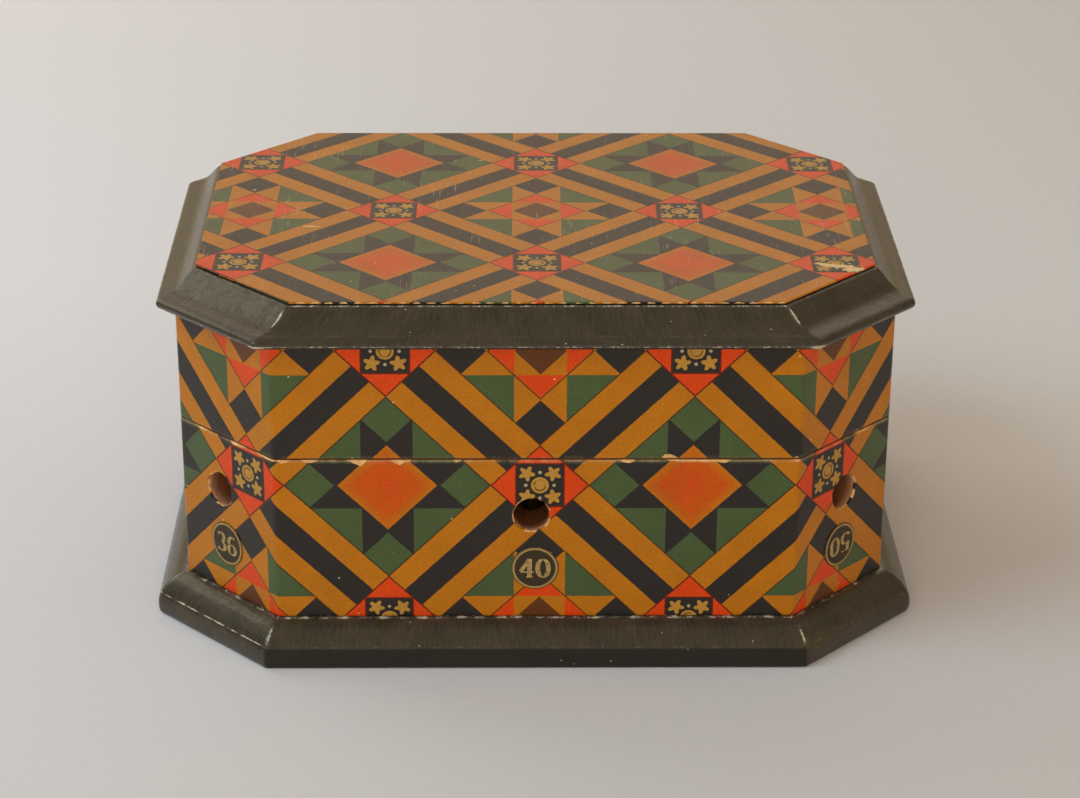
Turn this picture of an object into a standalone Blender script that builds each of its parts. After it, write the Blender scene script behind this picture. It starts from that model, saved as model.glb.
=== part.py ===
"""Octagonal thread box: a paper-covered wooden carcass, sawn into base and lid.

Metres, +Z up. The front faces -Y. The origin is at the middle of the underside.
"""
import bpy
import bmesh
from math import cos, pi, sin, sqrt
from mathutils import Matrix, Vector

MM = 0.001

# Driving dimensions. An octagon is given by half its width, half its depth and its corner cant,
# which is measured along either side.
HEIGHT = 79.6 * MM
SEAM_Z = 46.3 * MM
PLINTH_TOP_Z = 9.1 * MM
LID_BOARD_UNDERSIDE_Z = 72.4 * MM
BODY = (76.2 * MM, 57.4 * MM, 21.3 * MM)
TOP_FIELD = (72.0 * MM, 52.4 * MM, 21.0 * MM)
LID_NOSE = (79.9 * MM, 60.7 * MM, 22.0 * MM)
PLINTH_OVERHANG = 6.7 * MM

WALL_THICKNESS = 9.5 * MM
PAPER_THICKNESS = 0.4 * MM
TOP_PAPER_THICKNESS = 0.3 * MM
GAP = 0.3 * MM

BORE_RADIUS = 3.95 * MM
BORE_Z = 33.3 * MM
DISC_RADIUS = 5.0 * MM
DISC_THICKNESS = 0.3 * MM
DISC_Z = 20.8 * MM

SPINDLE_X = 43.0 * MM
SPINDLE_Y = 23.0 * MM
SPINDLE_TOP_Z = 44.5 * MM
SPINDLE_RADIUS = 2.0 * MM
TENON_RADIUS = 1.5 * MM
TENON_DEPTH = 5.0 * MM

HINGE_X = 36.0 * MM
HINGE_LENGTH = 20.0 * MM
LEAF_THICKNESS = 0.9 * MM
LEAF_WIDTH = 6.0 * MM
KNUCKLE_RADIUS = 1.5 * MM
PIN_RADIUS = 0.62 * MM
PIN_BORE_RADIUS = 0.7 * MM
HINGE_Y = BODY[1] + KNUCKLE_RADIUS + 0.2 * MM

SCREW_HEAD_RADIUS = 1.15 * MM
SCREW_SHANK_RADIUS = 0.55 * MM
SCREW_LENGTH = 6.5 * MM
SCREW_SPREAD = 6.0 * MM

# Where each wall stands: the octagon corner it starts from, and how far its bore and its number
# disc sit from the wall's middle, to the right as seen from outside.
WALLS = {
    "front": {"corner": 0, "bore": -1.1 * MM, "disc": -0.3 * MM},
    "front_right": {"corner": 1, "bore": 0.4 * MM, "disc": -0.2 * MM},
    "right": {"corner": 2},
    "back_right": {"corner": 3, "bore": 0.0, "disc": 0.0},
    "back": {"corner": 4, "bore": 0.0, "disc": 0.0},
    "back_left": {"corner": 5, "bore": 0.0, "disc": 0.0},
    "left": {"corner": 6},
    "front_left": {"corner": 7, "bore": -2.7 * MM, "disc": -1.0 * MM},
}
SPINDLES = {
    "front_left": (-1, -1), "front": (0, -1), "front_right": (1, -1),
    "back_left": (-1, 1), "back": (0, 1), "back_right": (1, 1),
}

# name: (colour, roughness, metallic)
FINISHES = {
    "black_wood": ((0.030, 0.027, 0.022), 0.35, 0.0),
    "carcass_wood": ((0.30, 0.17, 0.08), 0.60, 0.0),
    "printed_paper": ((0.42, 0.18, 0.05), 0.40, 0.0),
    "disc_paper": ((0.06, 0.05, 0.045), 0.45, 0.0),
    "spindle_wood": ((0.45, 0.29, 0.15), 0.50, 0.0),
    "brass": ((0.60, 0.42, 0.16), 0.35, 1.0),
}


def clear_scene():
    for item in list(bpy.data.objects):
        bpy.data.objects.remove(item, do_unlink=True)


def finish(name):
    """The Principled material of one finish, made once."""
    material = bpy.data.materials.get(name)
    if material is None:
        colour, roughness, metallic = FINISHES[name]
        material = bpy.data.materials.new(name)
        material.use_nodes = True
        shader = material.node_tree.nodes["Principled BSDF"]
        shader.inputs["Base Color"].default_value = (*colour, 1.0)
        shader.inputs["Roughness"].default_value = roughness
        shader.inputs["Metallic"].default_value = metallic
    return material


def add_object(name, vertices, faces, finish_name=None, smooth=False):
    """One closed mesh object; without a finish it is a cutter, which is only a guide."""
    mesh = bpy.data.meshes.new(name)
    mesh.from_pydata([tuple(v) for v in vertices], [], faces)
    shape = bmesh.new()
    shape.from_mesh(mesh)
    bmesh.ops.recalc_face_normals(shape, faces=shape.faces)
    shape.to_mesh(mesh)
    shape.free()
    piece = bpy.data.objects.new(name, mesh)
    bpy.context.scene.collection.objects.link(piece)
    if smooth:
        mesh.shade_smooth()
        mesh.set_sharp_from_angle(angle=pi / 6)
    if finish_name:
        mesh.materials.append(finish(finish_name))
    else:
        piece.hide_render = True
        piece.display_type = "WIRE"
    return piece


def cut(piece, *cutters):
    for cutter in cutters:
        boolean = piece.modifiers.new(cutter.name, "BOOLEAN")
        boolean.operation = "DIFFERENCE"
        boolean.solver = "EXACT"
        boolean.object = cutter


def join(piece, *others):
    for other in others:
        boolean = piece.modifiers.new(other.name, "BOOLEAN")
        boolean.operation = "UNION"
        boolean.solver = "EXACT"
        boolean.object = other


def offset_octagon(octagon, distance):
    """The octagon moved outwards by distance on all eight sides."""
    half_width, half_depth, cant = octagon
    return (half_width + distance, half_depth + distance, cant + distance * (2 - sqrt(2)))


def corners(octagon, z):
    """The eight corners, counter-clockwise from above, from the left end of the front side."""
    half_width, half_depth, cant = octagon
    x, y = half_width - cant, half_depth - cant
    plan = [(-x, -half_depth), (x, -half_depth), (half_width, -y), (half_width, y),
            (x, half_depth), (-x, half_depth), (-half_width, y), (-half_width, -y)]
    return [Vector((px, py, z)) for px, py in plan]


def bridge(first, second, count):
    """Quads between two rings of count vertices that start at the indices first and second."""
    return [(first + i, first + (i + 1) % count, second + (i + 1) % count, second + i)
            for i in range(count)]


def loft(name, rings, finish_name, closed=False, smooth=False):
    """A solid through rings of equal length: capped, or closed on itself like a sleeve."""
    count = len(rings[0])
    vertices = [v for ring in rings for v in ring]
    faces = []
    for level in range(len(rings) - 1):
        faces += bridge(level * count, (level + 1) * count, count)
    last = (len(rings) - 1) * count
    if closed:
        faces += bridge(last, 0, count)
    else:
        faces.append(tuple(range(count))[::-1])
        faces.append(tuple(range(last, last + count)))
    return add_object(name, vertices, faces, finish_name, smooth)


def ring(radius, z, segments):
    return [Vector((radius * cos(2 * pi * i / segments), radius * sin(2 * pi * i / segments), z))
            for i in range(segments)]


def turned(name, profile, finish_name=None, segments=32):
    """A round piece on the Z axis: profile is a list of (radius, z) from the bottom up."""
    rings = [ring(radius, z, segments) for radius, z in profile]
    return loft(name, rings, finish_name, smooth=True)


def box(name, low, high, finish_name=None):
    (x0, y0, z0), (x1, y1, z1) = low, high
    rings = [[Vector((x0, y0, z)), Vector((x1, y0, z)), Vector((x1, y1, z)), Vector((x0, y1, z))]
             for z in (z0, z1)]
    return loft(name, rings, finish_name)


def wall_frame(octagon, corner):
    """The middle of one side, its direction to the right seen from outside, and its normal."""
    plan = corners(octagon, 0.0)
    start, end = plan[corner], plan[(corner + 1) % 8]
    along = (end - start).normalized()
    normal = Vector((along.y, -along.x, 0.0))
    return (start + end) / 2, along, normal


def face_out(piece, middle, along, normal, shift, z):
    """Stands a piece made on the Z axis on a wall, with its axis along the wall's normal."""
    turn = Matrix((along, Vector((0, 0, 1)), normal)).transposed().to_4x4()
    piece.matrix_world = Matrix.Translation(middle + along * shift + Vector((0, 0, z))) @ turn


def base_board():
    """The plinth: a board whose edge is worked to one broad convex round."""
    profile = [(5.5, 0.0), (6.3, 0.5), (6.7, 1.8), (6.6, 3.2), (6.2, 4.4), (5.6, 5.4), (4.9, 6.35),
               (3.9, 7.4), (3.0, 8.1), (2.1, 8.6), (1.2, 8.95), (0.3, 9.1)]
    rings = [corners(offset_octagon(BODY, out * MM), z * MM) for out, z in profile]
    board = loft("base_board", rings, "black_wood")
    for name, (side_x, side_y) in SPINDLES.items():
        socket = turned("socket_" + name, [
            (TENON_RADIUS + GAP, PLINTH_TOP_Z - TENON_DEPTH - GAP),
            (TENON_RADIUS + GAP, PLINTH_TOP_Z + 1 * MM)], segments=24)
        socket.location = (side_x * SPINDLE_X, side_y * SPINDLE_Y, 0.0)
        cut(board, socket)
    return board


def lid_nose(z):
    """The lid's outer edge: it overhangs at the front and sides, and is flush with the walls behind."""
    ring_points = corners(LID_NOSE, z)
    half_width, (_, back, _) = LID_NOSE[0], BODY
    flush = BODY[0] + BODY[1] - BODY[2]
    ring_points[3:7] = [Vector((half_width, flush - half_width, z)), Vector((flush - back, back, z)),
                        Vector((back - flush, back, z)), Vector((-half_width, flush - half_width, z))]
    return ring_points


def lid_board():
    """The lid's board: a rounded nose, then a cove that sweeps up to the flat field."""
    profile = [(0.86, 72.4), (0.95, 72.6), (0.99, 73.1), (1.0, 73.7), (0.97, 74.2), (0.88, 74.6),
               (0.78, 74.85), (0.65, 75.15), (0.5, 75.65), (0.38, 76.3), (0.28, 77.0), (0.18, 77.9),
               (0.08, 78.7), (0.0, 79.0)]
    rings = [[inner.lerp(outer, share) for inner, outer in zip(corners(TOP_FIELD, z * MM),
                                                               lid_nose(z * MM))]
             for share, z in profile]
    return loft("lid_board", rings, "black_wood")


def top_paper():
    """The printed paper on the lid, a flat sheet up to the edge of the field."""
    rings = [corners(TOP_FIELD, HEIGHT - TOP_PAPER_THICKNESS), corners(TOP_FIELD, HEIGHT)]
    return loft("top_paper", rings, "printed_paper")


def paper_sleeve(name, low_z, high_z):
    """The printed paper round the walls."""
    inner = offset_octagon(BODY, -PAPER_THICKNESS)
    rings = [corners(BODY, low_z), corners(BODY, high_z),
             corners(inner, high_z), corners(inner, low_z)]
    return loft(name, rings, "printed_paper", closed=True)


def wall(name, corner, low_z, high_z):
    """One wall of the carcass, mitred at both ends, with half a glue gap at each mitre."""
    outer = offset_octagon(BODY, -PAPER_THICKNESS - GAP)
    inner = offset_octagon(outer, -WALL_THICKNESS)
    rings = []
    for z in (low_z, high_z):
        out, back = corners(outer, z), corners(inner, z)
        end = (corner + 1) % 8
        trim = (out[end] - out[corner]).normalized() * (GAP * 0.55)
        rings.append([out[corner] + trim, out[end] - trim, back[end] - trim, back[corner] + trim])
    return loft(name, rings, "carcass_wood")


def bore_cutter(name, place):
    """The drill for one thread hole, through paper and wall."""
    middle, along, normal = wall_frame(BODY, place["corner"])
    reach = WALL_THICKNESS + 4 * MM
    cutter = turned("bore_" + name, [(BORE_RADIUS, -reach), (BORE_RADIUS, 2 * MM)])
    face_out(cutter, middle, along, normal, place["bore"], BORE_Z)
    return cutter


def number_disc(name, place):
    """The round paper with the thread number, under its bore."""
    middle, along, normal = wall_frame(BODY, place["corner"])
    disc = turned("number_disc_" + name, [(DISC_RADIUS, GAP), (DISC_RADIUS, GAP + DISC_THICKNESS)],
                  "disc_paper", segments=48)
    face_out(disc, middle, along, normal, place["disc"], DISC_Z)
    return disc


def spindle(name, side_x, side_y):
    """A turned peg: tenon, shoulder, slightly tapered stem and rounded tip."""
    floor = PLINTH_TOP_Z
    tip = [(SPINDLE_RADIUS * 0.8 * cos(a * pi / 12), SPINDLE_TOP_Z + 1.6 * MM * (sin(a * pi / 12) - 1))
           for a in range(6)]
    profile = [(TENON_RADIUS, floor - TENON_DEPTH), (TENON_RADIUS, floor + GAP),
               (SPINDLE_RADIUS * 1.25, floor + GAP), (SPINDLE_RADIUS * 1.25, floor + 1.5 * MM),
               (SPINDLE_RADIUS, floor + 2.2 * MM)] + tip
    peg = turned("spindle_" + name, profile, "spindle_wood", segments=24)
    peg.location = (side_x * SPINDLE_X, side_y * SPINDLE_Y, 0.0)
    return peg


def lying_cylinder(name, radius, start, end, axis, segments=32):
    """A cutter or a joined part: a cylinder along X round the hinge axis."""
    rod = turned(name, [(radius, start), (radius, end)], segments=segments)
    rod.matrix_world = Matrix.Translation(axis) @ Matrix.Rotation(pi / 2, 4, "Y")
    return rod


def hinge_leaf(name, axis, side, knuckle_spans):
    """A leaf let into a wall's edge, with its knuckles. side is -1 for the base, +1 for the lid."""
    near, far = sorted((axis.z + side * GAP / 2, axis.z + side * (GAP / 2 + LEAF_THICKNESS)))
    half = HINGE_LENGTH / 2
    plate_end = axis.y - KNUCKLE_RADIUS - GAP
    leaf = box(name, (axis.x - half, plate_end - LEAF_WIDTH, near), (axis.x + half, plate_end, far),
               "brass")
    for index, (start, end) in enumerate(knuckle_spans):
        tongue = box(f"{name}_tongue_{index}", (axis.x + start, plate_end - 0.5 * MM, near),
                     (axis.x + end, axis.y, far))
        knuckle = lying_cylinder(f"{name}_knuckle_{index}", KNUCKLE_RADIUS, start, end, axis)
        join(leaf, tongue, knuckle)
    cut(leaf, lying_cylinder(name + "_pin_bore", PIN_BORE_RADIUS, -half - MM, half + MM, axis, 24))
    return leaf


def screw(name, x, y, face_z, side):
    """A countersunk wood screw with a slotted head. side is +1 when its point is above."""
    head = [(SCREW_SHANK_RADIUS * 0.2, -SCREW_LENGTH), (SCREW_SHANK_RADIUS, -SCREW_LENGTH + 1.2 * MM),
            (SCREW_SHANK_RADIUS, -0.75 * MM), (SCREW_HEAD_RADIUS, -0.12 * MM),
            (SCREW_HEAD_RADIUS, 0.0)]
    piece = turned(name, head, "brass", segments=20)
    slot = box(name + "_slot", (-2 * MM, -0.15 * MM, -0.25 * MM), (2 * MM, 0.15 * MM, MM))
    pilot = turned(name + "_pilot", [
        (SCREW_SHANK_RADIUS + 0.2 * MM, -SCREW_LENGTH - GAP),
        (SCREW_SHANK_RADIUS + 0.2 * MM, -0.75 * MM),
        (SCREW_HEAD_RADIUS + 0.2 * MM, -0.12 * MM), (SCREW_HEAD_RADIUS + 0.2 * MM, MM)], segments=20)
    turn = Matrix.Rotation(pi, 4, "X") if side > 0 else Matrix.Identity(4)
    for item in (piece, slot, pilot):
        item.matrix_world = Matrix.Translation((x, y, face_z)) @ turn
    cut(piece, slot)
    return pilot


def hinge(name, x, base_pieces, lid_pieces):
    """One brass butt hinge with its pin, its screws and the recesses they sit in."""
    axis = Vector((x, HINGE_Y, SEAM_Z))
    third = HINGE_LENGTH / 3
    outer_knuckles = [(-1.5 * third, -0.5 * third), (0.5 * third, 1.5 * third)]
    middle_knuckle = [(-0.5 * third + 0.2 * MM, 0.5 * third - 0.2 * MM)]
    leaves = {-1: hinge_leaf(name + "_base_leaf", axis, -1, outer_knuckles),
              1: hinge_leaf(name + "_lid_leaf", axis, 1, middle_knuckle)}
    pin = lying_cylinder(name + "_pin", PIN_RADIUS, -1.5 * third - 0.4 * MM, 1.5 * third + 0.4 * MM,
                         axis, 24)
    pin.hide_render = False
    pin.display_type = "TEXTURED"
    pin.data.materials.append(finish("brass"))

    leaf_back = axis.y - KNUCKLE_RADIUS - GAP - LEAF_WIDTH
    half = HINGE_LENGTH / 2 + GAP
    depth = GAP / 2 + LEAF_THICKNESS + GAP
    for side, pieces, body in ((-1, base_pieces, "base"), (1, lid_pieces, "lid")):
        low, high = sorted((axis.z + side * depth, axis.z - side * MM))
        recess = box(f"{name}_{body}_recess", (x - half, leaf_back - GAP, low),
                     (x + half, axis.y + 3 * MM, high))
        for piece in pieces:
            cut(piece, recess)
        for index, shift in enumerate((-SCREW_SPREAD, SCREW_SPREAD)):
            pilot = screw(f"{name}_{body}_screw_{index + 1}", x + shift,
                          leaf_back + LEAF_WIDTH * 0.42, axis.z + side * GAP / 2, side)
            cut(leaves[side], pilot)
            cut(pieces[0], pilot)


def main():
    clear_scene()
    base_board()
    lid_board()
    top_paper()

    base_low, base_high = PLINTH_TOP_Z + GAP, SEAM_Z - GAP / 2
    lid_low, lid_high = SEAM_Z + GAP / 2, LID_BOARD_UNDERSIDE_Z - GAP
    base_paper = paper_sleeve("base_paper", base_low, base_high)
    lid_paper = paper_sleeve("lid_paper", lid_low, lid_high)

    back_walls = {}
    for name, place in WALLS.items():
        base_wall = wall("base_wall_" + name, place["corner"], base_low, base_high)
        lid_wall = wall("lid_wall_" + name, place["corner"], lid_low, lid_high)
        if name == "back":
            back_walls = {"base": base_wall, "lid": lid_wall}
        if "bore" in place:
            cutter = bore_cutter(name, place)
            cut(base_wall, cutter)
            cut(base_paper, cutter)
            number_disc(name, place)

    for name, (side_x, side_y) in SPINDLES.items():
        spindle(name, side_x, side_y)

    for name, x in (("hinge_left", -HINGE_X), ("hinge_right", HINGE_X)):
        hinge(name, x, [back_walls["base"], base_paper], [back_walls["lid"], lid_paper])


main()
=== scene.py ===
import bpy
import numpy as np
from mathutils import Matrix, Vector


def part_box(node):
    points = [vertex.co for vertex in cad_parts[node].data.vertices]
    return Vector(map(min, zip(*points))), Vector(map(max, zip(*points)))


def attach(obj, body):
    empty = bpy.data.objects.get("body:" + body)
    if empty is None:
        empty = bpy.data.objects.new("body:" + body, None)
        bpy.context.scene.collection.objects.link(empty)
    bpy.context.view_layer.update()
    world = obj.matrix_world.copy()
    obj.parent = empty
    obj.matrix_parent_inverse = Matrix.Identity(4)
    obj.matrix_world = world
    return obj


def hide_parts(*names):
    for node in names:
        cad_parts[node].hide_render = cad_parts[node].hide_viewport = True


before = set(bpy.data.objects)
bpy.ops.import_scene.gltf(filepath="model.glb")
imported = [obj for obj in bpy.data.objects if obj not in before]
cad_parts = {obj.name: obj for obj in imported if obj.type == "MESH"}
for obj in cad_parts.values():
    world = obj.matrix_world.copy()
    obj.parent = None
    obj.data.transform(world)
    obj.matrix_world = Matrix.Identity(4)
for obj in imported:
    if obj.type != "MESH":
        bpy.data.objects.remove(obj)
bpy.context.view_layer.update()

mm = 0.001
print("frame loaded:", len(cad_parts), "CAD nodes")


# ---- measuring the frame and building meshes ----

def nodePoints(name):
    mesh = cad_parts[name].data
    points = np.empty(len(mesh.vertices) * 3)
    mesh.vertices.foreach_get("co", points)
    return points.reshape(-1, 3)


# the directions an octagon's sides face, counter-clockwise from the front
sideAngles = np.radians(-90 + 45 * np.arange(8))
sideNormals = np.stack([np.cos(sideAngles), np.sin(sideAngles)], -1)


# a node's plan as an octagon: how far each of its eight sides stands from the middle
def octagonOf(name):
    return (nodePoints(name)[:, :2] @ sideNormals.T).max(0)


# An octagon's corners; the first is where the front side starts. Where two sides at 45 degrees
# meet: (n1 (d1 - d2 cos 45) + n2 (d2 - d1 cos 45)) / sin 45 squared.
def cornersOf(octagon):
    before, normalsBefore = np.roll(octagon, 1), np.roll(sideNormals, 1, 0)
    half = np.sqrt(0.5)
    return 2 * (normalsBefore * (before - octagon * half)[:, None]
                + sideNormals * (octagon - before * half)[:, None])


outlineSteps = {"long": 110, "short": 72, "cant": 30, "corner": 8}


# An octagon's outline with rounded corners, counter-clockwise from a join on the back side.
# Each side is a straight run between two arcs, whose middles are the corners of the octagon moved
# inwards by the radius. Gives the points and the outward directions.
def outline(octagon, radius, steps=outlineSteps):
    arcMiddle = cornersOf(octagon - radius)
    counts = [steps["long"], steps["cant"], steps["short"], steps["cant"]] * 2
    points, directions = [], []
    for side, normal in enumerate(sideNormals):
        start = arcMiddle[side] + radius * normal
        end = arcMiddle[(side + 1) % 8] + radius * normal
        share = np.arange(counts[side])[:, None] / counts[side]
        points.append(start + (end - start) * share)
        directions.append(np.repeat(normal[None], counts[side], 0))
        angle = sideAngles[side] + np.pi / 4 * np.arange(steps["corner"]) / steps["corner"]
        arc = np.stack([np.cos(angle), np.sin(angle)], -1)
        points.append(arcMiddle[(side + 1) % 8] + radius * arc)
        directions.append(arc)
    points, directions = np.concatenate(points), np.concatenate(directions)
    join = sum(counts[:4]) + 4 * steps["corner"] + int(0.8 * counts[4])
    return np.roll(points, -join, 0), np.roll(directions, -join, 0)


# distance along a closed outline, zero at the middle of the front; one value more than points
def alongOutline(points):
    step = np.linalg.norm(np.roll(points, -1, 0) - points, axis=1)
    along = np.concatenate([[0], np.cumsum(step)])
    front = points[:, 1] < points[:, 1].min() + 1e-7
    return along - np.median((along[:-1] - points[:, 0])[front])


# rings of an outline at given heights: one row of points for each height
def ringRows(points, heights):
    rows = np.empty((len(heights), len(points), 3))
    rows[:, :, :2] = points
    rows[:, :, 2] = np.asarray(heights)[:, None]
    return rows


def ringRow(points, height):
    return ringRows(points, [height])[0]


# A mesh from a grid of points. wrap joins the last column to the first, loop joins the last row to
# the first, and caps closes the first and last rows with a fan round their middle.
# uv has one column (or row) more than the points where the grid wraps. marks are point values.
# planCaps gives the caps their plan as uv.
def gridMesh(name, points, material, body, wrap=False, loop=False, caps=False, uv=None, marks=None,
             skip=None, extra=None, planCaps=False):
    rows, cols = points.shape[:2]
    r, c = np.meshgrid(np.arange(rows if loop else rows - 1), np.arange(cols if wrap else cols - 1),
                       indexing="ij")
    r2, c2 = (r + 1) % rows, (c + 1) % cols
    quads = np.stack([r * cols + c, r * cols + c2, r2 * cols + c2, r2 * cols + c], -1)
    corners = np.stack([np.stack([r, c], -1), np.stack([r, c + 1], -1),
                        np.stack([r + 1, c + 1], -1), np.stack([r + 1, c], -1)], -2)
    keep = np.ones(r.shape, bool) if skip is None else ~skip
    quads, corners = quads[keep], corners[keep]
    vertices = points.reshape(-1, 3)
    faceUv = None if uv is None else uv[corners[..., 0], corners[..., 1]]
    markValues = {key: values.reshape(-1) for key, values in (marks or {}).items()}
    faces = quads.tolist()
    uvList = [] if faceUv is None else [faceUv.reshape(-1, 2)]
    if extra is not None:
        faces += extra["quads"].tolist()
        vertices = np.concatenate([vertices, extra["points"]])
        uvList.append(extra["uv"].reshape(-1, 2))
        markValues = {key: np.concatenate([values, extra["marks"][key]])
                      for key, values in markValues.items()}
    if caps:
        for row, flip in ((0, True), (rows - 1, False)):
            middle = len(vertices)
            vertices = np.concatenate([vertices, points[row].mean(0)[None]])
            index = row * cols + np.arange(cols)
            nextIndex = row * cols + (np.arange(cols) + 1) % cols
            fan = np.stack([index, nextIndex, np.full(cols, middle)], -1)
            faces += (fan[:, ::-1] if flip else fan).tolist()
            markValues = {key: np.append(values, values[row * cols]) for key, values in markValues.items()}
            if uv is not None:
                ends = points[row, :, :2] if planCaps else uv[row, :cols]
                nextEnds = np.roll(ends, -1, 0) if planCaps else uv[row, 1:cols + 1]
                around = np.stack([ends, nextEnds, np.repeat(ends.mean(0)[None], cols, 0)], 1)
                uvList.append((around[:, ::-1] if flip else around).reshape(-1, 2))
    mesh = bpy.data.meshes.new(name)
    mesh.from_pydata(vertices.tolist(), [], faces)
    for key, values in markValues.items():
        mesh.attributes.new(key, "FLOAT", "POINT").data.foreach_set("value", values.astype(np.float32))
    if uvList:
        mesh.uv_layers.new(name="place").data.foreach_set(
            "uv", np.concatenate(uvList).astype(np.float32).ravel())
    mesh.polygons.foreach_set("use_smooth", np.ones(len(mesh.polygons), bool))
    piece = bpy.data.objects.new(name, mesh)
    bpy.context.scene.collection.objects.link(piece)
    mesh.materials.append(material)
    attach(piece, body)
    return piece


# smooth repeatable noise: a sum of sines with seeded directions and phases, about -1 to 1
def softNoise(points, scale, seed, octaves=3):
    rng = np.random.default_rng(seed)
    value, weight, total = 0, 1.0, 0
    for octave in range(octaves):
        for wave in range(4):
            direction = rng.normal(size=points.shape[-1])
            direction /= np.linalg.norm(direction)
            phase = rng.uniform(0, 2 * np.pi)
            value = value + weight * np.sin(points @ direction * 2 * np.pi / scale + phase)
            total += weight / 2
        scale, weight = scale / 2.1, weight * 0.55
    return value / total


# ---- node graphs ----

class Graph:
    def __init__(self, tree):
        self.tree = tree
        self.nodes = tree.nodes
        self.links = tree.links

    def put(self, socket, value):
        if isinstance(value, bpy.types.NodeSocket):
            self.links.new(value, socket)
        elif socket.type == "RGBA" and len(value) == 3:
            socket.default_value = (*value, 1.0)
        else:
            socket.default_value = value

    def math(self, operation, a, b=0.0, c=0.0, clamp=False):
        node = self.nodes.new("ShaderNodeMath")
        node.operation = operation
        node.use_clamp = clamp
        for socket, value in zip(node.inputs, (a, b, c)):
            self.put(socket, value)
        return node.outputs[0]

    def add(self, a, b):
        return self.math("ADD", a, b)

    def sub(self, a, b):
        return self.math("SUBTRACT", a, b)

    def mul(self, a, b):
        return self.math("MULTIPLY", a, b)

    def least(self, a, b):
        return self.math("MINIMUM", a, b)

    def most(self, a, b):
        return self.math("MAXIMUM", a, b)

    def away(self, a, b=0.0):
        return self.math("ABSOLUTE", self.sub(a, b))

    # one where value is under the limit, with a soft edge; scale turns value into millimetres
    def below(self, value, limit, scale=1.0, soft=0.09):
        k = scale / soft
        return self.math("MULTIPLY_ADD", value, -k, limit * k + 0.5, clamp=True)

    def above(self, value, limit, scale=1.0, soft=0.09):
        k = scale / soft
        return self.math("MULTIPLY_ADD", value, k, 0.5 - limit * k, clamp=True)

    # one on a line of a given half width, drawn where value equals at
    def line(self, value, at, half, scale=1.0, soft=0.09):
        return self.below(self.away(value, at), half / scale, scale, soft)

    def mix(self, share, a, b, blend="MIX"):
        node = self.nodes.new("ShaderNodeMix")
        node.data_type = "RGBA"
        node.blend_type = blend
        self.put(node.inputs["Factor"], share)
        self.put(node.inputs[6], a)
        self.put(node.inputs[7], b)
        return node.outputs[2]

    def noise(self, vector, scale, detail=2.0, rough=0.5):
        node = self.nodes.new("ShaderNodeTexNoise")
        self.put(node.inputs["Vector"], vector)
        node.inputs["Scale"].default_value = scale
        node.inputs["Detail"].default_value = detail
        node.inputs["Roughness"].default_value = rough
        return node.outputs["Fac"]

    # squeezes a value range to zero..one
    def span(self, value, low, high):
        node = self.nodes.new("ShaderNodeMapRange")
        self.put(node.inputs["Value"], value)
        node.inputs["From Min"].default_value = low
        node.inputs["From Max"].default_value = high
        return node.outputs["Result"]

    def mapped(self, vector, scale=(1, 1, 1), move=(0, 0, 0), turn=(0, 0, 0)):
        node = self.nodes.new("ShaderNodeMapping")
        self.put(node.inputs["Vector"], vector)
        node.inputs["Scale"].default_value = scale
        node.inputs["Location"].default_value = move
        node.inputs["Rotation"].default_value = turn
        return node.outputs["Vector"]

    def split(self, vector):
        node = self.nodes.new("ShaderNodeSeparateXYZ")
        self.put(node.inputs[0], vector)
        return node.outputs

    # sparse round specks: one inside small circles round some of a Voronoi pattern's points
    def specks(self, vector, scale, radius, share):
        cells = self.nodes.new("ShaderNodeTexVoronoi")
        cells.inputs["Scale"].default_value = scale
        self.put(cells.inputs["Vector"], vector)
        keep = self.above(self.split(cells.outputs["Color"])[0], 1 - share, 1.0, 0.02)
        return self.mul(self.below(cells.outputs["Distance"], radius, 1.0, 0.02), keep)

    def objectPlace(self):
        return self.nodes.new("ShaderNodeTexCoord").outputs["Object"]

    def length(self, x, y):
        return self.math("SQRT", self.add(self.mul(x, x), self.mul(y, y)))

    # the object's own coordinates, and the uv, in millimetres
    def objectMm(self):
        return self.mapped(self.objectPlace(), scale=(1000, 1000, 1000))

    def uvMm(self):
        return self.mapped(self.uvPlace(), scale=(1000, 1000, 1))

    def uvPlace(self):
        node = self.nodes.new("ShaderNodeUVMap")
        node.uv_map = "place"
        return node.outputs["UV"]

    def mark(self, name):
        node = self.nodes.new("ShaderNodeAttribute")
        node.attribute_name = name
        return node.outputs["Fac"]

    def bump(self, height, distance, strength=1.0, normal=None):
        node = self.nodes.new("ShaderNodeBump")
        self.put(node.inputs["Height"], height)
        node.inputs["Distance"].default_value = distance
        node.inputs["Strength"].default_value = strength
        if normal is not None:
            self.put(node.inputs["Normal"], normal)
        return node.outputs["Normal"]


def srgb(red, green, blue):
    value = np.array([red, green, blue]) / 255
    linear = np.where(value <= 0.04045, value / 12.92, ((value + 0.055) / 1.055) ** 2.4)
    return tuple(float(v) for v in linear)


def newMaterial(name, **fixed):
    material = bpy.data.materials.new(name)
    material.use_nodes = True
    shader = material.node_tree.nodes["Principled BSDF"]
    for key, value in fixed.items():
        shader.inputs[key].default_value = value
    return material, shader, Graph(material.node_tree)


# ---- the printed paper ----

inks = {
    "ochre": srgb(192, 116, 6), "black": srgb(36, 34, 39), "green": srgb(70, 90, 56),
    "red": srgb(225, 67, 2), "brown": srgb(96, 50, 23), "orange": srgb(199, 90, 2),
    "darkLine": srgb(58, 28, 14), "redLine": srgb(98, 14, 5), "gold": srgb(190, 140, 58),
    "pale": srgb(176, 168, 140), "cream": srgb(236, 190, 130),
}
# The print's half periods in millimetres, a band's half width as a share of them, and the black
# stripe's share of a band.
paperPattern = {"across": 31.8, "up": 31.5, "band": 0.32, "stripe": 0.36}
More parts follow.
